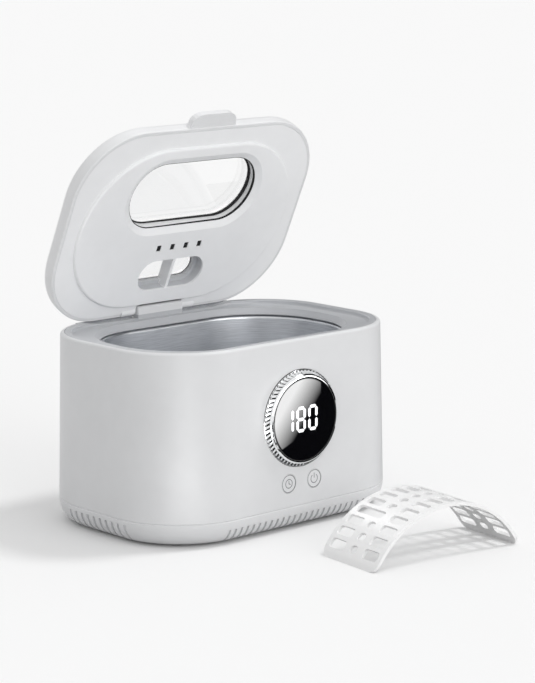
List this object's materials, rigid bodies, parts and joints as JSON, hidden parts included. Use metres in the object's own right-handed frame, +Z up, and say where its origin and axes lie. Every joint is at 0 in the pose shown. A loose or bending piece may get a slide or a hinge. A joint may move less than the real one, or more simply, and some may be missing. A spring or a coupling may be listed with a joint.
{
  "type": "ultrasonic jewelry cleaner",
  "caption": "Rounded counter-top ultrasonic cleaner with a steel tank, a hinged lid with a clear window, a round display, push buttons and a loose arched basket.",
  "frame": {"origin": "on the table under the middle of the body", "axes": "+X to the right along the front, +Y to the back, +Z up"},
  "size_m": [0.19, 0.2391, 0.2337],
  "materials": {
    "shell_white": "fine satin",
    "lid_white": "fine satin",
    "deck_grey": "satin",
    "tank_steel": "brushed",
    "bezel_chrome": "polished, with slanted cuts",
    "lens_black": "polished",
    "digit_white": "lit",
    "pane_clear": "clear, polished",
    "basket_white": "satin",
    "foot_rubber": "matte",
    "gasket_rubber": "matte",
    "screw_steel": "plated",
    "horn_aluminium": "turned",
    "mass_steel": "turned",
    "piezo_ceramic": "fired ceramic",
    "contact_brass": "rolled",
    "board_green": "lacquered",
    "ferrite_brown": "ferrite with a winding",
    "can_blue": "sleeved can",
    "sink_aluminium": "extruded",
    "inlet_black": "satin",
    "lead_red": "insulated",
    "lead_yellow": "insulated",
    "ribbon_grey": "flat cable"
  },
  "bodies": {
    "housing": {"outer_shell": "shell_white", "base_pan": "shell_white", "foot_ring": "foot_rubber", "base_screws": "screw_steel", "deck_ring": "deck_grey", "tank": "tank_steel", "tank_gasket": "gasket_rubber", "tank_screws": "screw_steel", "horn_block": "horn_aluminium", "piezo_rings": "piezo_ceramic", "electrode_plates": "contact_brass", "back_mass": "mass_steel", "transducer_bolt": "mass_steel", "driver_board": "board_green", "driver_screws": "screw_steel", "transformer": "ferrite_brown", "capacitors": "can_blue", "heat_sink": "sink_aluminium", "power_inlet": "inlet_black", "inlet_pins": "contact_brass", "mains_leads": "lead_red", "transducer_leads": "lead_yellow", "display_ribbon": "ribbon_grey", "control_board": "board_green", "control_screws": "screw_steel", "tact_switches": "inlet_black", "display_module": "inlet_black", "display_bezel": "bezel_chrome", "display_lens": "lens_black", "digit_segments": "digit_white", "hinge_pin": "screw_steel"},
    "timer_button": {"timer_button": "shell_white"},
    "power_button": {"power_button": "shell_white"},
    "lid": {"lid_cover": "lid_white", "lid_liner": "lid_white", "window_pane": "pane_clear", "rear_pane": "pane_clear"},
    "basket": {"basket": "basket_white"}
  },
  "joints": [
    {"name": "lid_hinge", "type": "hinge", "parent": "housing", "child": "lid", "pos_m": [0, 0.061, 0.1126], "axis": [-1, 0, 0], "range_deg": [-65, 20]},
    {"name": "timer_press", "type": "slide", "parent": "housing", "child": "timer_button", "axis": [0, 1, 0], "range_m": [0, 0.0008], "stiffness_N_per_m": 900, "springref_m": -0.0005},
    {"name": "power_press", "type": "slide", "parent": "housing", "child": "power_button", "axis": [0, 1, 0], "range_m": [0, 0.0008], "stiffness_N_per_m": 900, "springref_m": -0.0005},
    {"name": "basket_lift", "type": "slide", "parent": "housing", "child": "basket", "axis": [0, 0, 1], "range_m": [0, 0.15]}
  ]
}
